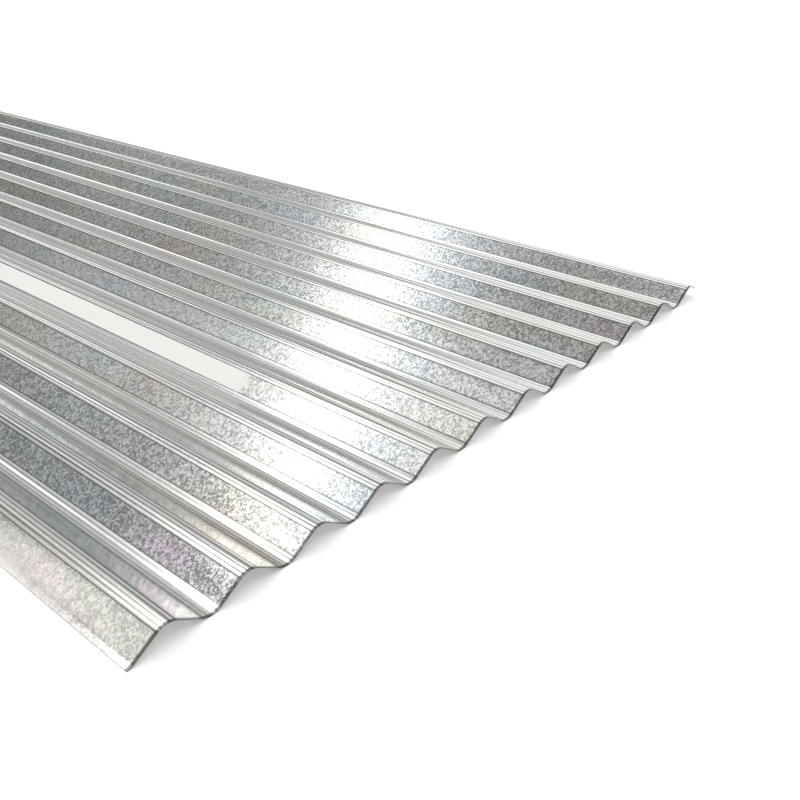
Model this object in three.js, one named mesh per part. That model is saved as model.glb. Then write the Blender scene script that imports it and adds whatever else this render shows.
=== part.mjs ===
// A roll-formed galvanised corrugated roofing sheet, one plain length of stock.
//
// Millimetres, +Z up. The sheet lies flat with its waves running along Y, so Y is its length and
// X its cover width. The origin is the middle of the area it lies on, level with the valleys.
//
// The wave is the usual one for this trade: round crests and round valleys of one bend radius,
// joined by flat slopes. One long edge ends low, down in a valley, and the other ends high, just
// over the last crest, so that the next sheet laps over it.

import * as THREE from 'three';

// ---- Driving dimensions ------------------------------------------------------------------------

const sheetLength = 2438; // along the waves, an eight-foot sheet
const gauge = 0.5; // thickness of the metal
const crestCount = 12; // crests across the width
const wavePitch = 76.2; // from crest to crest, three inches
const waveDepth = 18; // from crest to valley on one face
const bendRadius = 16.5; // of every crest and valley, at the middle of the metal
const lowEdgeReach = 36.5; // from the first crest's top out to the edge that ends low
const highEdgeReach = 15; // from the last crest's top out to the edge that ends high
const bendSides = 9; // flats in one bend, an odd number so that one lies level

// ---- Finish ------------------------------------------------------------------------------------

const zinc = new THREE.MeshStandardMaterial({
  name: 'galvanised_steel',
  color: 0xb4b8ba,
  roughness: 0.34,
  metalness: 1.0,
});

// ---- The wave ----------------------------------------------------------------------------------

// The centre of a crest's bend lies below the metal, and that of a valley's bend above it. The
// flat slope is the line that touches both circles and crosses between them.
const halfPitch = wavePitch / 2;
const centreRise = 2 * bendRadius - waveDepth;
const centreDistance = Math.hypot(halfPitch, centreRise);
const slopeAngle = Math.asin((2 * bendRadius) / centreDistance) - Math.atan2(centreRise, halfPitch);
const bendHalfWidth = bendRadius * Math.sin(slopeAngle);

// Height and steepness of the middle of the metal at a distance x from the first crest's top. The
// height is 0 at the crests' tops, and the angle is negative where the metal falls towards +X.
function waveAt(x) {
  const halfWave = Math.round(x / halfPitch);
  const isCrest = halfWave % 2 === 0;
  const side = isCrest ? 1 : -1;
  const offset = x - halfWave * halfPitch;
  const topHeight = isCrest ? 0 : -waveDepth;

  if (Math.abs(offset) <= bendHalfWidth) {
    const turn = Math.asin(offset / bendRadius);
    return { height: topHeight - side * bendRadius * (1 - Math.cos(turn)), angle: -side * turn };
  }

  const bendDrop = bendRadius * (1 - Math.cos(slopeAngle));
  const slopeRun = Math.abs(offset) - bendHalfWidth;
  const drop = bendDrop + slopeRun * Math.tan(slopeAngle);
  return { height: topHeight - side * drop, angle: -side * Math.sign(offset) * slopeAngle };
}

// Where the outline needs a corner: each bend is cut into equal turns, which puts a corner at both
// ends of every slope, and the two long edges close the row.
function outlineStations() {
  const lowEdge = -lowEdgeReach;
  const highEdge = (crestCount - 1) * wavePitch + highEdgeReach;
  const firstBend = Math.floor(lowEdge / halfPitch);
  const lastBend = Math.ceil(highEdge / halfPitch);
  const inside = [];

  for (let bend = firstBend; bend <= lastBend; bend += 1) {
    for (let side = 0; side <= bendSides; side += 1) {
      const turn = slopeAngle * ((2 * side) / bendSides - 1);
      const x = bend * halfPitch + bendRadius * Math.sin(turn);
      if (x > lowEdge && x < highEdge) inside.push(x);
    }
  }
  return [lowEdge, ...inside, highEdge];
}

// ---- The sheet ---------------------------------------------------------------------------------

// The end face of the sheet: the top face's line out, then the underside's line back. Both lie
// half a gauge from the middle of the metal, so the metal is equally thick in bends and slopes.
function endFace() {
  const stations = outlineStations();
  const faceLine = (side) =>
    stations.map((x) => {
      const { height, angle } = waveAt(x);
      const reach = (side * gauge) / 2;
      return new THREE.Vector2(x - reach * Math.sin(angle), height + reach * Math.cos(angle));
    });

  return new THREE.Shape([...faceLine(-1), ...faceLine(1).reverse()]);
}

function corrugatedSheet() {
  const geometry = new THREE.ExtrudeGeometry(endFace(), { depth: sheetLength, bevelEnabled: false });
  geometry.rotateX(Math.PI / 2);

  // Centred over the origin, with the valleys' undersides at height 0.
  geometry.center();
  geometry.computeBoundingBox();
  geometry.translate(0, 0, -geometry.boundingBox.min.z);

  const sheet = new THREE.Mesh(geometry, zinc);
  sheet.name = 'corrugated_sheet';
  return sheet;
}

const part = new THREE.Group();
part.name = 'corrugated_metal_sheet';
part.add(corrugatedSheet());

export default part;
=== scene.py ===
import math

import bpy
import numpy as np
from mathutils import Matrix, Vector


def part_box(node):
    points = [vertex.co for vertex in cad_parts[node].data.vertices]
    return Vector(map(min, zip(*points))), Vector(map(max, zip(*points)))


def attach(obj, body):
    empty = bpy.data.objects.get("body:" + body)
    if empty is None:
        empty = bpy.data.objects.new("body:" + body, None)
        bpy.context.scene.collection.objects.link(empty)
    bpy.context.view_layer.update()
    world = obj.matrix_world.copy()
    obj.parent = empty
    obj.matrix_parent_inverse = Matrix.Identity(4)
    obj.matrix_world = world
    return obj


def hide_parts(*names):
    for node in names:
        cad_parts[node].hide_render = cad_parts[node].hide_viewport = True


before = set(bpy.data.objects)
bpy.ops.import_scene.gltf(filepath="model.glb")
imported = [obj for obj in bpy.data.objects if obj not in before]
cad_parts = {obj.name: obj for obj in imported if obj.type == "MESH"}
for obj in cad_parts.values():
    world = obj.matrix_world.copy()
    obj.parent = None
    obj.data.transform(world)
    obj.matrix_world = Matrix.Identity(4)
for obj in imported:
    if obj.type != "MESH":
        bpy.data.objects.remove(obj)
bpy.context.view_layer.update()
SHEET_LOW, SHEET_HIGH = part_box("corrugated_sheet")

# ---- The sheet's sizes, in metres ---------------------------------------------------------------

# The wave's are the part's own. Where the sheet ends comes from the frame.
PITCH = 0.0762  # from crest to crest
WAVE_DEPTH = 0.018  # from crest to valley on one face
BEND_RADIUS = 0.0165  # of crests and valleys, at the middle of the metal
GAUGE = 0.0005  # thickness of the metal
LOW_EDGE_REACH = 0.0365  # from the first crest out to the edge that ends low

BEND_STEPS = 12  # mesh columns in one bend
SLOPE_STEPS = 5  # mesh columns in one flat slope
ROW_LENGTH = 0.026  # of one mesh row along the sheet

# Thin metal is never quite true: the slopes lean a little more or less along the sheet. Each row
# has a seed, a height, and the size of its patches across and along the sheet.
LEANS = (
    (3, 0.00016, 0.045, 0.30),
    (4, 0.00005, 0.030, 0.09),
)
LEANS_FULLY_FROM = 0.4  # share of the wave's depth, above the valleys, which lie on the floor


# ---- The wave ------------------------------------------------------------------------------------

# The centre of a crest's bend lies below the metal, and that of a valley's bend above it. The flat
# slope is the line that touches both circles and crosses between them.
HALF_PITCH = PITCH / 2
CENTRE_RISE = 2 * BEND_RADIUS - WAVE_DEPTH
CENTRE_DISTANCE = math.hypot(HALF_PITCH, CENTRE_RISE)
SLOPE_ANGLE = math.asin(2 * BEND_RADIUS / CENTRE_DISTANCE) - math.atan2(CENTRE_RISE, HALF_PITCH)
BEND_HALF_WIDTH = BEND_RADIUS * math.sin(SLOPE_ANGLE)
BEND_DROP = BEND_RADIUS * (1 - math.cos(SLOPE_ANGLE))
SLOPE_WIDTH = HALF_PITCH - 2 * BEND_HALF_WIDTH

# The same, measured along the metal.
HALF_BEND_LENGTH = BEND_RADIUS * SLOPE_ANGLE
SLOPE_LENGTH = SLOPE_WIDTH / math.cos(SLOPE_ANGLE)
HALF_WAVE_LENGTH = 2 * HALF_BEND_LENGTH + SLOPE_LENGTH


def wave_at(x):
    """Height from the crests' tops, steepness and developed distance of the metal's middle at x."""
    half_wave = np.round(x / HALF_PITCH)
    side = np.where(half_wave % 2 == 0, 1.0, -1.0)
    top = np.where(side > 0, 0.0, -WAVE_DEPTH)
    offset = x - half_wave * HALF_PITCH
    in_bend = np.abs(offset) <= BEND_HALF_WIDTH
    turn = np.arcsin(np.clip(offset / BEND_RADIUS, -1, 1))
    past_bend = np.abs(offset) - BEND_HALF_WIDTH

    slope_drop = BEND_DROP + past_bend * math.tan(SLOPE_ANGLE)
    drop = np.where(in_bend, BEND_RADIUS * (1 - np.cos(turn)), slope_drop)
    angle = np.where(in_bend, turn, np.sign(offset) * SLOPE_ANGLE)
    along_slope = np.sign(offset) * (HALF_BEND_LENGTH + past_bend / math.cos(SLOPE_ANGLE))
    along = np.where(in_bend, BEND_RADIUS * turn, along_slope)
    return top - side * drop, -side * angle, half_wave * HALF_WAVE_LENGTH + along


def stations(low_edge, high_edge):
    """Where the mesh has its columns: even turns in the bends and even steps on the slopes."""
    first = math.floor(low_edge / HALF_PITCH)
    last = math.ceil(high_edge / HALF_PITCH)
    xs = []
    for bend in range(first, last + 1):
        middle = bend * HALF_PITCH
        for step in range(BEND_STEPS + 1):
            turn = SLOPE_ANGLE * (2 * step / BEND_STEPS - 1)
            xs.append(middle + BEND_RADIUS * math.sin(turn))
        for step in range(1, SLOPE_STEPS):
            xs.append(middle + BEND_HALF_WIDTH + step / SLOPE_STEPS * SLOPE_WIDTH)
    inside = [x for x in xs if low_edge < x < high_edge]
    return np.array([low_edge, *inside, high_edge])


# ---- The sheet's mesh ----------------------------------------------------------------------------


def smooth_noise(seed, across, along, cell_across, cell_along):
    """Seeded noise from -1 to 1 on a grid of points, smooth over cells of the given size."""
    rng = np.random.default_rng(seed)

    def weights(points, cell):
        place = (points - points.min()) / cell
        low = np.floor(place).astype(int)
        part = place - low
        return low, part * part * (3 - 2 * part)

    i, u = weights(across, cell_across)
    j, v = weights(along, cell_along)
    grid = rng.uniform(-1, 1, (j.max() + 2, i.max() + 2))
    rows = grid[j] * (1 - v)[:, None] + grid[j + 1] * v[:, None]
    return rows[:, i] * (1 - u) + rows[:, i + 1] * u


def sheet_points(x, y, first_crest):
    """The points of the top face, row by row, and then those of the underside."""
    height, angle, _ = wave_at(x)
    lean = sum(rise * smooth_noise(seed, x, y, across, along) for seed, rise, across, along in LEANS)
    free = np.clip((height + WAVE_DEPTH) / WAVE_DEPTH / LEANS_FULLY_FROM, 0, 1)
    middle_z = WAVE_DEPTH + GAUGE / 2 + height + lean * free
    sides = []
    for side in (1, -1):
        reach = side * GAUGE / 2
        px = np.broadcast_to(first_crest + x - reach * np.sin(angle), lean.shape)
        py = np.broadcast_to(y[:, None], lean.shape)
        pz = middle_z + reach * np.cos(angle)
        sides.append(np.stack([px, py, pz], axis=-1).reshape(-1, 3))
    return np.concatenate(sides)


def sheet_faces(n_x, n_y):
    """The corners of every face, the rim's faces last, and how many faces come before the rim's."""
    i, j = np.meshgrid(np.arange(n_x - 1), np.arange(n_y - 1))
    first = (j * n_x + i).ravel()
    to_under = n_x * n_y
    top = np.stack([first, first + 1, first + 1 + n_x, first + n_x], axis=1)
    under = top[:, ::-1] + to_under

    def rim(edge, flip):
        """Faces that close the metal along one edge, between its top face and its underside."""
        start, end = edge[:-1], edge[1:]
        quads = np.stack([start, end, end + to_under, start + to_under], axis=1)
        return quads[:, ::-1] if flip else quads

    front = np.arange(n_x)
    back = front + n_x * (n_y - 1)
    left = np.arange(n_y) * n_x
    right = left + n_x - 1
    rims = [rim(front, True), rim(back, False), rim(left, False), rim(right, True)]
    return np.concatenate([top, under, *rims]), len(top) + len(under)


def mark_cut_edge(mesh, broad_count):
    """Marks the rim's faces, and keeps sharp each edge that one of them shares with a broad face."""
    cut = np.zeros(len(mesh.polygons), np.float32)
    cut[broad_count:] = 1
    mesh.attributes.new("cut_edge", "FLOAT", "FACE").data.foreach_set("value", cut)

    edge_of_corner = np.zeros(len(mesh.loops), np.int32)
    mesh.loops.foreach_get("edge_index", edge_of_corner)
    # Every face has four corners.
    cut_count = np.bincount(edge_of_corner, weights=np.repeat(cut, 4), minlength=len(mesh.edges))
    all_count = np.bincount(edge_of_corner, minlength=len(mesh.edges))
    sharp = (cut_count > 0) & (cut_count < all_count)
    mesh.attributes.new("sharp_edge", "BOOLEAN", "EDGE").data.foreach_set("value", sharp)


def map_developed(mesh, faces, x, y):
    """A map that counts half waves across the sheet from the first crest, and metres along it."""
    _, _, developed = wave_at(x)
    u = np.tile(developed / HALF_WAVE_LENGTH, len(y) * 2)
    v = np.tile(np.repeat(y, len(x)), 2)
    corners = faces.ravel()
    uv = np.stack([u[corners], v[corners]], axis=1).astype(np.float32)
    mesh.uv_layers.new(name="developed").data.foreach_set("uv", uv.ravel())


def build_sheet():
    first_crest = SHEET_LOW.x + LOW_EDGE_REACH
    x = stations(-LOW_EDGE_REACH, SHEET_HIGH.x - first_crest)
    rows = round((SHEET_HIGH.y - SHEET_LOW.y) / ROW_LENGTH)
    y = np.linspace(SHEET_LOW.y, SHEET_HIGH.y, rows + 1)
    points = sheet_points(x, y, first_crest)
    faces, broad_count = sheet_faces(len(x), len(y))

    mesh = bpy.data.meshes.new("galvanised_sheet")
    mesh.vertices.add(len(points))
    mesh.vertices.foreach_set("co", points.ravel())
    mesh.loops.add(faces.size)
    mesh.loops.foreach_set("vertex_index", faces.ravel())
    mesh.polygons.add(len(faces))
    mesh.polygons.foreach_set("loop_start", np.arange(0, faces.size, 4))
    mesh.update(calc_edges=True)
    mesh.validate()
    mesh.polygons.foreach_set("use_smooth", np.ones(len(faces), bool))
    mark_cut_edge(mesh, broad_count)
    map_developed(mesh, faces, x, y)

    sheet = bpy.data.objects.new("galvanised_sheet", mesh)
    bpy.context.scene.collection.objects.link(sheet)
    return sheet


# ---- Shorthand for node trees --------------------------------------------------------------------


class Nodes:
    """Adds nodes to a tree. A value is a number, a colour or another node's output."""

    def __init__(self, tree):
        self.tree = tree

    def add(self, kind, **properties):
        node = self.tree.nodes.new(kind)
        for name, value in properties.items():
            setattr(node, name, value)
        return node

    def feed(self, socket, value):
        if isinstance(value, bpy.types.NodeSocket):
            self.tree.links.new(value, socket)
        elif socket.type == "RGBA":
            socket.default_value = (*value, 1.0)
        else:
            socket.default_value = value

    def math(self, operation, a, b=0.0):
        node = self.add("ShaderNodeMath", operation=operation)
        self.feed(node.inputs[0], a)
        self.feed(node.inputs[1], b)
        return node.outputs[0]

    def total(self, first, *others):
        for other in others:
            first = self.math("ADD", first, other)
        return first

    def product(self, first, *others):
        for other in others:
            first = self.math("MULTIPLY", first, other)
        return first

    def vector_math(self, operation, a, b=None, scale=None):
        node = self.add("ShaderNodeVectorMath", operation=operation)
        self.feed(node.inputs[0], a)
        if b is not None:
            self.feed(node.inputs[1], b)
        if scale is not None:
            self.feed(node.inputs["Scale"], scale)
        return node.outputs[0]

    def split(self, vector):
        node = self.add("ShaderNodeSeparateXYZ")
        self.feed(node.inputs[0], vector)
        return node.outputs

    def remap(self, value, low, high, to_low=0.0, to_high=1.0):
        """Takes low to to_low and high to to_high, and holds the value between them."""
        node = self.add("ShaderNodeMapRange")
        ends = ("From Min", low), ("From Max", high), ("To Min", to_low), ("To Max", to_high)
        for name, end in (("Value", value), *ends):
            self.feed(node.inputs[name], end)
        return node.outputs["Result"]

    def near(self, value, centre, reach, softness):
        """1 within reach of the centre, falling smoothly to 0 over the softness."""
        off = self.math("ABSOLUTE", self.math("SUBTRACT", value, centre))
        result = self.remap(off, reach, reach + softness, 1.0, 0.0)
        result.node.interpolation_type = "SMOOTHSTEP"
        return result

    def noise(self, vector, scale, detail=2.0, stretch=None):
        if stretch:
            vector = self.vector_math("MULTIPLY", vector, stretch)
        node = self.add("ShaderNodeTexNoise")
        self.feed(node.inputs["Vector"], vector)
        self.feed(node.inputs["Scale"], scale)
        self.feed(node.inputs["Detail"], detail)
        return node.outputs

    def uneven(self, vector, scale, detail=2.0, stretch=None):
        """Noise about 0."""
        return self.math("SUBTRACT", self.noise(vector, scale, detail, stretch)["Fac"], 0.5)

    def cells(self, vector, scale):
        """A random colour for each cell."""
        node = self.add("ShaderNodeTexVoronoi")
        self.feed(node.inputs["Vector"], vector)
        self.feed(node.inputs["Scale"], scale)
        return node.outputs["Color"]

    def mix_value(self, share, a, b):
        """From a to b. The node's inputs 2 and 3 are its pair for numbers."""
        node = self.add("ShaderNodeMix", data_type="FLOAT")
        for index, value in ((0, share), (2, a), (3, b)):
            self.feed(node.inputs[index], value)
        return node.outputs[0]

    def mix(self, share, a, b, blend="MIX"):
        """The same for colours, which are its inputs 6 and 7 and its output 2."""
        node = self.add("ShaderNodeMix", data_type="RGBA", blend_type=blend)
        for index, value in ((0, share), (6, a), (7, b)):
            self.feed(node.inputs[index], value)
        return node.outputs[2]


def new_material(name):
    material = bpy.data.materials.new(name)
    material.use_nodes = True
    return material, Nodes(material.node_tree), material.node_tree.nodes["Principled BSDF"].inputs


# ---- Galvanised steel ----------------------------------------------------------------------------

# Places across the sheet are in half waves from the first crest, and places along it in metres. On
# the way from slope to bend, the middle of a slope is 0 and the middle of a bend is 1.
NEAR_END = SHEET_LOW.y  # the end nearest the camera
LOW_EDGE_OUT = 0.96  # from the first crest out to the edge that ends low
LOW_MARGIN = -0.7  # the rolls hardly touch the metal outside this line
BEND_START = 1 - 2 * HALF_BEND_LENGTH / HALF_WAVE_LENGTH  # on that way
BEND_SOFTNESS = 0.03
# Within one whole wave, from crest to crest.
VALLEY = {"centre": 1.0, "reach": 0.3, "softness": 0.15}
DRAWN_SLOPE = {"centre": 0.5, "reach": 0.25, "softness": 0.06}
DRAWN_SLOPE_SHARE = 0.85  # how much it is drawn, where a bend has 1


class SheetMap:
    """Where a point lies on the sheet, as outputs that all parts of the material share."""

    def __init__(self, n):
        self.place = n.add("ShaderNodeTexCoord").outputs["Object"]
        self.developed = n.add("ShaderNodeUVMap", uv_map="developed").outputs["UV"]
        self.half_waves, self.along, _ = n.split(self.developed)
        self.cut = n.add("ShaderNodeAttribute", attribute_name="cut_edge").outputs["Fac"]
        self.first_slope = n.math("LESS_THAN", self.half_waves, 0.0)
        self.rolled = n.math("GREATER_THAN", self.half_waves, LOW_MARGIN)

        from_slope = n.math("PINGPONG", n.math("SUBTRACT", self.half_waves, 0.5), 0.5)
        self.to_bend = n.product(from_slope, 2.0)
        in_bend = n.remap(self.to_bend, BEND_START - BEND_SOFTNESS, BEND_START + BEND_SOFTNESS)
        self.in_bend = n.product(in_bend, self.rolled)
        from_crest = n.math("FLOORED_MODULO", self.half_waves, 2.0)
        self.in_valley = n.near(from_crest, **VALLEY)
        # The slopes that lead down from a crest towards +X were drawn over the rolls: smoother,
        # and scored lengthwise, as the bends are.
        drawn_slope = n.product(n.near(from_crest, **DRAWN_SLOPE), DRAWN_SLOPE_SHARE)
        self.drawn = n.math("MAXIMUM", self.in_bend, drawn_slope)


# Zinc crystals of three sizes, as cells to the metre, and the share of each in the grain.
FINE_CRYSTALS = 680.0
MEDIUM_CRYSTALS = 400.0
COARSE_CRYSTALS = 150.0
FINE_SHARE = 0.47
MEDIUM_SHARE = 0.45
COARSE_SHARE = 0.08
GRAIN_SPAN = (0.28, 0.72)  # of their sum, from the darkest grain to the lightest
BRIGHT_RIBS = {"centre": 8.0, "reach": 0.6, "softness": 5.0}
DARK_RIBS = {"centre": 2.5, "reach": 1.1, "softness": 1.2}
BRIGHTER = 0.22  # what the grain gains on the bright ribs
DARKER = 0.17  # and what it loses on the dark ones
FIRST_SLOPE_GRAIN = 0.75  # the level towards which the crystals fade on the first slope, lighter: a painted sheen
FIRST_SLOPE_FADE = 0.4  # and how far they do
DRAWN_GRAIN = 0.80  # the same where the metal was drawn
DRAWN_FADE = 0.85


def crystal_grain(n, at):
    """How light the crystals are, a random colour for each fine one and a number for each medium one."""
    fine = n.cells(at.place, FINE_CRYSTALS)
    medium_light, medium_random, _ = n.split(n.cells(at.place, MEDIUM_CRYSTALS))
    coarse = n.cells(at.place, COARSE_CRYSTALS)
    grain = n.total(
        n.product(n.split(fine)[0], FINE_SHARE),
        n.product(medium_light, MEDIUM_SHARE),
        n.product(n.split(coarse)[0], COARSE_SHARE),
    )
    grain = n.remap(grain, *GRAIN_SPAN)
    # The grain is lighter on some ribs and darker on others.
    grain = n.total(grain, n.product(n.near(at.half_waves, **BRIGHT_RIBS), BRIGHTER))
    grain = n.math("SUBTRACT", grain, n.product(n.near(at.half_waves, **DARK_RIBS), DARKER))
    # The crystals are fainter on the first slope, and lighter there as a painted sheen, and fainter
    # where the rolls drew the metal.
    grain = n.mix_value(n.product(at.first_slope, FIRST_SLOPE_FADE), grain, FIRST_SLOPE_GRAIN)
    grain = n.mix_value(n.product(at.drawn, DRAWN_FADE), grain, DRAWN_GRAIN)
    return grain, fine, medium_random


DARK_ZINC = (0.33, 0.333, 0.336)
LIGHT_ZINC = (0.95, 0.95, 0.945)
# Faint tints of the passivated surface: colour, the noise over which each comes in, and strength.
TINTS = (
    ((1.0, 0.965, 0.84), (0.50, 0.64), 0.7),  # warm
    ((0.88, 0.96, 1.0), (0.52, 0.66), 0.9),  # cool
    ((1.0, 0.90, 0.97), (0.62, 0.70), 0.7),  # rose
)
TINT_CLOUDS = {"scale": 7.0, "detail": 3.0, "stretch": (1.6, 0.7, 1.0)}
# The warm tint of the painted sheen on the first slope.
FIRST_SLOPE_SHEEN_TINT = (1.0, 0.98, 0.91)
BLOOM_TINT = (1.0, 0.88, 0.97)
BLOOM_ALONG = {"centre": NEAR_END + 0.075, "reach": 0.012, "softness": 0.035}
BLOOM_ACROSS = {"centre": 1.5, "reach": 0.05, "softness": 0.3}


def zinc_colour(n, at, grain):
    colour = n.mix(grain, DARK_ZINC, LIGHT_ZINC)
    clouds = n.split(n.noise(at.place, **TINT_CLOUDS)["Color"])
    for cloud, (tint, span, strength) in zip(clouds, TINTS):
        colour = n.mix(n.product(n.remap(cloud, *span), strength), colour, tint, "MULTIPLY")
    # The first slope takes the warm tint of a painted sheen.
    colour = n.mix(at.first_slope, colour, FIRST_SLOPE_SHEEN_TINT, "MULTIPLY")
    # A small rose bloom near the end of the second slope.
    bloom = n.product(n.near(at.along, **BLOOM_ALONG), n.near(at.half_waves, **BLOOM_ACROSS))
    return n.mix(bloom, colour, BLOOM_TINT, "MULTIPLY")


STREAK_COLOUR = (0.34, 0.335, 0.28)
STREAKS = {"scale": 1.0, "detail": 3.0, "stretch": (46.0, 1.2, 1.0)}
STREAK_SPAN = (0.35, 0.75)
STREAK_STRENGTHS = (0.06, 0.45)  # on slopes and where the metal was drawn


def with_streaks(n, at, colour):
    """Streaks along the sheet, stronger in the bends."""
    streaks = n.remap(n.noise(at.developed, **STREAKS)["Fac"], *STREAK_SPAN)
    share = n.product(streaks, n.remap(at.drawn, 0, 1, *STREAK_STRENGTHS))
    return n.mix(share, colour, STREAK_COLOUR)


# The lines along the bends are painted reflections: dark where the creases that the rolls press mirror
# dark, bright where they mirror light, and dark again where a bend begins.
LINE_SPACING = 0.00425  # metres between the lines pressed along the bends
DARK_LINE = (0.14, 0.138, 0.12)
DARK_LINE_SPAN = (0.4, 0.9)  # of the pressed wave, from no dark line to a full one
DARK_LINE_PATCHY = (0.50, 0.95)  # how strong the painted dark line is where it is faint, and where it is full
LINE_PATCHES = {"scale": 1.0, "detail": 2.0, "stretch": (8.0, 0.8, 1.0)}
LINE_PATCH_SPAN = (0.35, 0.65)
BRIGHT_LINE = (0.98, 0.98, 0.97)
BRIGHT_LINE_SPAN = (0.0, -0.8)  # the same for a bright one
DARK_LINE_STRENGTHS = (1.0, 0.45)  # on crests and in valleys
BRIGHT_LINE_STRENGTHS = (0.8, 0.9)
# A painted dark reflection where a bend begins.
BORDER_LINE = (0.13, 0.126, 0.095)
BORDER_LINE_AT = BEND_START + 0.01  # on the way from slope to bend
BORDER_LINE_SPAN = (0.012, 0.045)  # half its width, where it is full and where it has gone
BORDER_LINE_STRENGTH = 0.72
RAGGED = {"scale": 400.0}
RAGGED_REACH = 0.04


def pressed_waves(n, at):
    """1 on each line pressed along a bend, where a dark reflection is painted, and -1 midway to the
    next.

    The lines are counted from where a slope that leads up to a crest towards +X ends.
    """
    off_slope = n.math("PINGPONG", n.math("ADD", at.half_waves, 0.5), 1.0)
    off_slope = n.math("SUBTRACT", n.product(off_slope, HALF_WAVE_LENGTH), SLOPE_LENGTH / 2)
    return n.math("COSINE", n.product(off_slope, 2 * math.pi / LINE_SPACING))


def with_lines(n, at, pressed, ragged, colour):
    """Painted reflections of the creases pressed along the bends: dark lines between broader bright
    ones, and a dark one where a bend begins.
    """
    patchiness = n.noise(at.developed, **LINE_PATCHES)["Fac"]
    dark = n.product(
        n.remap(pressed, *DARK_LINE_SPAN),
        n.remap(patchiness, *LINE_PATCH_SPAN, *DARK_LINE_PATCHY),
        n.remap(at.in_valley, 0, 1, *DARK_LINE_STRENGTHS),
        at.in_bend,
    )
    bright = n.product(
        n.remap(pressed, *BRIGHT_LINE_SPAN),
        n.remap(at.in_valley, 0, 1, *BRIGHT_LINE_STRENGTHS),
        at.in_bend,
    )
    off_border = n.total(n.math("SUBTRACT", at.to_bend, BORDER_LINE_AT), ragged)
    border = n.remap(n.math("ABSOLUTE", off_border), *BORDER_LINE_SPAN, 1.0, 0.0)
    border = n.product(border, n.product(at.rolled, BORDER_LINE_STRENGTH))
    colour = n.mix(dark, colour, DARK_LINE)
    colour = n.mix(bright, colour, BRIGHT_LINE)
    return n.mix(border, colour, BORDER_LINE)


# A painted highlight: a bright strip of reflection on one slope, painted in as chalky white that is not
# metal. And a painted sheen on the first slope, painted the same way.
HIGHLIGHT_SLOPE = {"centre": 7.5, "reach": 0.275, "softness": 0.012}
HIGHLIGHT_START = 0.25  # from the near end
HIGHLIGHT_START_SOFTNESS = 0.006
HIGHLIGHT_FADES = (0.90, 1.02)  # from its start to where it begins to fade and where it has gone
PAINTED_LIGHT_EDGE = {"scale": 60.0, "detail": 4.0}
HIGHLIGHT_EDGE_REACH = 0.05  # the range over which that noise moves the painted highlight's start
PAINTED_LIGHT_PATCHES = {"scale": 14.0, "detail": 5.0, "stretch": (1.0, 0.4, 1.0)}
PAINTED_LIGHT_PATCH_REACH = 1.4  # the range over which that noise moves where it fades
# The painted sheen's front climbs from the low edge at the near end, by the height below for each rise
# along.
SHEEN_HEIGHT = 0.75
SHEEN_RISE = 0.22
SHEEN_RAGGED = 0.8
SHEEN_SPAN = (0.0, 0.7)  # behind the front, from none to its full strength
SHEEN_STRENGTH = 0.75
SHEEN_FADES = (0.25, 0.50)  # from the painted highlight's start, as above
SHEEN_BORDER = 0.02  # how softly it stops where a bend begins, which it doesn't in the margin
HIGHLIGHT_WHITE = (0.97, 0.97, 0.94)
SHEEN_WHITE = (0.97, 0.955, 0.885)


def painted_highlight_and_sheen(n, at):
    """How thickly the painted highlight and the painted sheen lie, and their colour, a chalky white."""
    edge = n.uneven(at.place, **PAINTED_LIGHT_EDGE)
    patches = n.product(n.uneven(at.place, **PAINTED_LIGHT_PATCHES), PAINTED_LIGHT_PATCH_REACH)
    from_start = n.math("SUBTRACT", at.along, NEAR_END + HIGHLIGHT_START)
    patchy = n.total(from_start, patches)

    # The painted highlight lies along one slope: a bright strip of reflection, painted chalky white. It
    # begins sharply and fades out in patches.
    ragged_start = n.total(from_start, n.product(edge, HIGHLIGHT_EDGE_REACH))
    painted_light = n.product(
        n.remap(ragged_start, 0.0, HIGHLIGHT_START_SOFTNESS),
        n.remap(patchy, *HIGHLIGHT_FADES, 1.0, 0.0),
        n.near(at.half_waves, **HIGHLIGHT_SLOPE),
    )
    # The painted sheen, a warm white reflection painted on, spreads up the first slope from the low
    # edge, the further from the near end the higher, and fades out sooner.
    height = n.math("DIVIDE", n.total(at.half_waves, LOW_EDGE_OUT), SHEEN_HEIGHT)
    spread = n.math("DIVIDE", n.math("SUBTRACT", at.along, NEAR_END), SHEEN_RISE)
    spread = n.total(n.math("SUBTRACT", spread, height), n.product(edge, SHEEN_RAGGED))
    margin = n.math("SUBTRACT", 1.0, at.rolled)
    sheen = n.product(
        n.remap(spread, *SHEEN_SPAN, 0.0, SHEEN_STRENGTH),
        at.first_slope,
        n.remap(patchy, *SHEEN_FADES, 1.0, 0.0),
        n.remap(at.to_bend, BEND_START - SHEEN_BORDER, BEND_START, 1.0, margin),
    )
    return n.math("MAXIMUM", painted_light, sheen), n.mix(sheen, HIGHLIGHT_WHITE, SHEEN_WHITE)


END_STRIP = 0.0024  # width of the dark strip along each cut end
END_STRIP_SOFTNESS = 0.0006
END_STRIP_RAGGED = 0.02
END_STRIP_STRENGTH = 0.85
END_STRIP_DARK = (0.07, 0.068, 0.062)  # dark
CUT_STEEL = (0.05, 0.049, 0.046)


def with_cut_edges(n, at, ragged, colour):
    """The rim is bare steel, and a narrow strip along both ends is darker."""
    # Both ends lie equally far from y = 0.
    from_end = n.math("SUBTRACT", -NEAR_END, n.math("ABSOLUTE", at.along))
    from_end = n.total(from_end, n.product(ragged, END_STRIP_RAGGED))
    strip_ends = END_STRIP + END_STRIP_SOFTNESS
    end_strip = n.remap(from_end, END_STRIP, strip_ends, END_STRIP_STRENGTH, 0.0)
    return n.mix(at.cut, n.mix(end_strip, colour, END_STRIP_DARK), CUT_STEEL)


CRYSTAL_ROUGHNESS = (0.10, 0.17)
BEND_ROUGHER = 0.02
CUT_ROUGHER = 0.35
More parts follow.
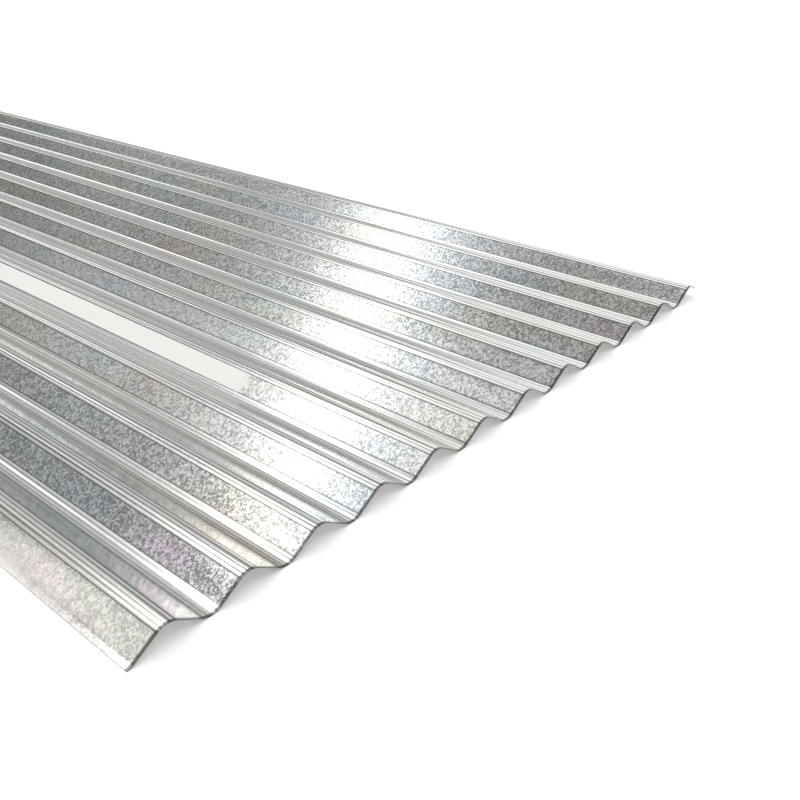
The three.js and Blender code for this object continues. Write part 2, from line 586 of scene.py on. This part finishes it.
# The next is added where the highlight and the sheen are painted chalky white.
PAINTED_LIGHT_ROUGHER = 0.4
CRYSTAL_TILTS = (0.020, 0.004)  # on slopes and where the metal was drawn
RIPPLE_HEIGHT = 0.00006  # of the pressed lines
RIPPLE_STRENGTHS = (1.0, 0.5)  # on crests and in valleys
SCORE_HEIGHT = 0.0001  # of the fine lines that the rolls score lengthwise
SCORES = {"scale": 1.0, "detail": 1.0, "stretch": (34.0, 0.25, 1.0)}


def surface_normal(n, at, crystal_colour, pressed):
    """Each crystal tilts the surface by up to a degree, and the rolls leave ripples and scores."""
    tilt = n.vector_math("SUBTRACT", crystal_colour, (0.5, 0.5, 0.5))
    tilt = n.vector_math("SCALE", tilt, scale=n.remap(at.drawn, 0, 1, *CRYSTAL_TILTS))
    true_normal = n.add("ShaderNodeNewGeometry").outputs["Normal"]
    tilted = n.vector_math("NORMALIZE", n.vector_math("ADD", true_normal, tilt))

    in_valley = n.remap(at.in_valley, 0, 1, *RIPPLE_STRENGTHS)
    ripples = n.product(pressed, -RIPPLE_HEIGHT, in_valley, at.in_bend)
    scores = n.product(n.noise(at.developed, **SCORES)["Fac"], SCORE_HEIGHT, at.drawn)
    bump = n.add("ShaderNodeBump")
    n.feed(bump.inputs["Strength"], 1.0)
    n.feed(bump.inputs["Distance"], 1.0)
    n.feed(bump.inputs["Height"], n.total(ripples, scores))
    n.feed(bump.inputs["Normal"], tilted)
    return bump.outputs[0]


def galvanised_steel():
    material, n, shader = new_material("galvanised_steel")
    at = SheetMap(n)
    grain, crystal_colour, crystal_random = crystal_grain(n, at)
    pressed = pressed_waves(n, at)
    ragged = n.product(n.uneven(at.place, **RAGGED), RAGGED_REACH)
    # The painted highlight and the painted sheen: where they lie, the metal is painted chalky white,
    # less metal and rougher.
    painted_light, white = painted_highlight_and_sheen(n, at)

    colour = zinc_colour(n, at, grain)
    colour = with_streaks(n, at, colour)
    colour = with_lines(n, at, pressed, ragged, colour)
    # Painted highlight and painted sheen, in chalky white.
    colour = n.mix(painted_light, colour, white)
    colour = with_cut_edges(n, at, ragged, colour)
    roughness = n.total(
        n.remap(crystal_random, 0, 1, *CRYSTAL_ROUGHNESS),
        n.product(at.in_bend, BEND_ROUGHER),
        n.product(at.cut, CUT_ROUGHER),
        n.product(painted_light, PAINTED_LIGHT_ROUGHER),
    )
    n.feed(shader["Base Color"], colour)
    n.feed(shader["Metallic"], n.math("SUBTRACT", 1.0, painted_light))
    n.feed(shader["Roughness"], roughness)
    n.feed(shader["Normal"], surface_normal(n, at, crystal_colour, pressed))
    return material


# ---- The floor -----------------------------------------------------------------------------------

FLOOR_SIZE = 30.0  # from its middle to its sides
FLOOR_DROP = 0.0004  # below the sheet's valleys
FLOOR_COLOUR = (0.86, 0.86, 0.86)
FLOOR_ROUGHNESS = 0.9
FLOOR_SPECULAR = 0.1
FLOOR_GLOW = 0.24  # emission that the camera and reflections see, and that lights nothing else


def floor_material():
    """Pale paint that glows a little where it is seen: it looks white and keeps its shadows."""
    material, n, shader = new_material("pale_floor")
    n.feed(shader["Base Color"], FLOOR_COLOUR)
    n.feed(shader["Roughness"], FLOOR_ROUGHNESS)
    n.feed(shader["Specular IOR Level"], FLOOR_SPECULAR)
    path = n.add("ShaderNodeLightPath").outputs
    seen = n.math("MAXIMUM", path["Is Camera Ray"], path["Is Glossy Ray"])
    seen = n.math("MAXIMUM", seen, path["Is Transmission Ray"])
    n.feed(shader["Emission Color"], (1.0, 1.0, 1.0))
    n.feed(shader["Emission Strength"], n.product(seen, FLOOR_GLOW))
    return material


def build_floor():
    corners = [(x * FLOOR_SIZE, y * FLOOR_SIZE, 0) for x, y in ((-1, -1), (1, -1), (1, 1), (-1, 1))]
    mesh = bpy.data.meshes.new("floor")
    mesh.from_pydata(corners, [], [(0, 1, 2, 3)])
    mesh.materials.append(floor_material())
    floor = bpy.data.objects.new("floor", mesh)
    floor.location.z = -FLOOR_DROP
    bpy.context.scene.collection.objects.link(floor)


# ---- The room, which the metal reflects ----------------------------------------------------------

ROOM = 0.42  # radiance of the walls
CEILING = 0.50  # how much brighter the zenith is than the walls, except towards +Y
CEILING_FOCUS = 4.0  # power of a direction's z
CEILING_FADES = (0.10, 0.28)  # y of a direction where the ceiling begins to fade and has gone

# Soft patches of the walls, all but one brighter than the rest: the azimuth from +Y towards +X and
# the elevation of the middle of each, how far it reaches along both, how softly it ends, all in
# degrees, and the radiance that it adds.
ROOM_PATCHES = (
    (66, 20, 12, 20, 6, 0.68),  # far right
    (36, 24, 16, 14, 10, 0.16),  # low right
    (36, 64, 16, 14, 12, 0.62),  # high right
    (9, 30, 1.5, 9, 3, 1.40),  # window
    (-33, 33, 3, 5, 4, 0.60),  # left
    (-31, 26, 5, 5, 2.5, 0.75),  # low left
    (1, 20, 5, 8, 6, -0.12),  # dark wall
    (-20, 59, 7, 3, 7, 0.42),  # upper left
    (-15, 38, 4, 3, 7, 0.16),  # middle left
)


def build_world():
    """The camera sees plain white past the floor, and everything else sees the room."""
    world = bpy.data.worlds.new("studio")
    bpy.context.scene.world = world
    world.use_nodes = True
    n = Nodes(world.node_tree)
    x, y, z = n.split(n.add("ShaderNodeTexCoord").outputs["Generated"])
    azimuth = n.product(n.math("ARCTAN2", x, y), math.degrees(1))
    elevation = n.product(n.math("ARCSINE", z), math.degrees(1))
    room = ROOM
    for middle_az, middle_el, reach_az, reach_el, softness, radiance in ROOM_PATCHES:
        across = n.near(azimuth, middle_az, reach_az, softness)
        upward = n.near(elevation, middle_el, reach_el, softness)
        room = n.total(room, n.product(across, upward, radiance))
    ceiling = n.remap(y, *CEILING_FADES, CEILING, 0.0)
    room = n.total(room, n.product(n.math("POWER", z, CEILING_FOCUS), ceiling))

    background = world.node_tree.nodes["Background"].inputs
    seen = n.add("ShaderNodeLightPath").outputs["Is Camera Ray"]
    n.feed(background["Color"], n.mix_value(seen, room, 1.0))
    n.feed(background["Strength"], 1.0)


# ---- Lamps ---------------------------------------------------------------------------------------

STRIP_X, STRIP_Y, STRIP_Z = -0.1, 5.43, 7.62  # over the +Y end; the -Y end mirrors it
STRIP_AIM_Y = -0.9
UP_Y, UP_Z = -0.769, 0.639  # one metre up, in the plane of the +Y end's strip
STRIP_LENGTH = 8.8
STRIP_LEVELS = ((1, 1.0), (-1, 0.5))  # each end in y, and how bright its strip is
# A long strip of light, two fainter glows that reach past it above and below, and a bluish one
# above it: name, breadth, how far up its middle lies, radiance and colour.
STRIP_PARTS = (
    ("strip", 0.8, 0.0, 2.35, (1.0, 1.0, 0.98)),
    ("glow", 1.8, 0.0, 0.40, (0.93, 0.96, 1.0)),
    ("faint_glow", 3.1, 0.0, 0.22, (0.90, 0.95, 1.0)),
    ("blue_glow", 0.7, 0.75, 0.20, (0.56, 0.78, 1.0)),
)
FILL = 0.30  # radiance that the fill lamp gives to a white surface facing up
FILL_SPREAD = 1.2  # the angle it fills, in radians


def panel(name, centre, aim, width, height, radiance, colour):
    """A softbox: a flat lamp of even brightness that faces aim."""
    light = bpy.data.lights.new(name, "AREA")
    light.shape = "RECTANGLE"
    light.size = width
    light.size_y = height
    light.energy = radiance * math.pi * width * height
    light.color = colour
    lamp = bpy.data.objects.new(name, light)
    lamp.location = centre
    lamp.rotation_euler = (Vector(aim) - Vector(centre)).to_track_quat("-Z", "Y").to_euler()
    lamp.visible_camera = False
    bpy.context.scene.collection.objects.link(lamp)


def build_strips():
    for end, level in STRIP_LEVELS:
        aim = (STRIP_X, end * STRIP_AIM_Y, 0.0)
        for name, breadth, rise, radiance, colour in STRIP_PARTS:
            centre = (STRIP_X, end * (STRIP_Y + UP_Y * rise), STRIP_Z + UP_Z * rise)
            panel(name, centre, aim, STRIP_LENGTH, breadth, level * radiance, colour)


def build_fill():
    """A soft lamp overhead that brings the floor and the painted white highlight and sheen to a plain
    level.

    It makes no reflection, so the metal shows the room and the strips alone.
    """
    light = bpy.data.lights.new("fill", "SUN")
    light.energy = FILL * math.pi
    light.angle = FILL_SPREAD
    lamp = bpy.data.objects.new("fill", light)
    lamp.visible_glossy = False
    bpy.context.scene.collection.objects.link(lamp)


# ---- The camera, placed as the photograph was taken ----------------------------------------------

# Fitted to the photograph. Angles are in radians.
CAMERA_AT = (-0.6597, -1.6597, 0.4617)
YAW = 0.8517  # from +Y towards +X
PITCH_DOWN = 0.5035
ROLL = 0.0079
FOCAL_PX = 895.9  # in an image IMAGE_PX wide
IMAGE_PX = 800
SENSOR_MM = 36.0
CLIP_END = 100


def build_camera():
    level = Vector((math.sin(YAW), math.cos(YAW), 0))
    forward = math.cos(PITCH_DOWN) * level - math.sin(PITCH_DOWN) * Vector((0, 0, 1))
    right = forward.cross(Vector((0, 0, 1))).normalized()
    down = forward.cross(right)
    across = math.cos(ROLL) * right + math.sin(ROLL) * down
    up = math.sin(ROLL) * right - math.cos(ROLL) * down
    turn = Matrix((across, up, -forward)).transposed()

    data = bpy.data.cameras.new("camera")
    data.sensor_fit = "HORIZONTAL"
    data.sensor_width = SENSOR_MM
    data.lens = SENSOR_MM * FOCAL_PX / IMAGE_PX
    data.clip_end = CLIP_END
    camera = bpy.data.objects.new("camera", data)
    camera.matrix_world = Matrix.Translation(CAMERA_AT) @ turn.to_4x4()
    bpy.context.scene.collection.objects.link(camera)
    bpy.context.scene.camera = camera


# ---- The scene -----------------------------------------------------------------------------------

bpy.context.scene.view_settings.view_transform = "Standard"
build_camera()
build_world()
build_floor()

sheet = build_sheet()
sheet.data.materials.append(galvanised_steel())
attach(sheet, "root")
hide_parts("corrugated_sheet")

build_strips()
build_fill()
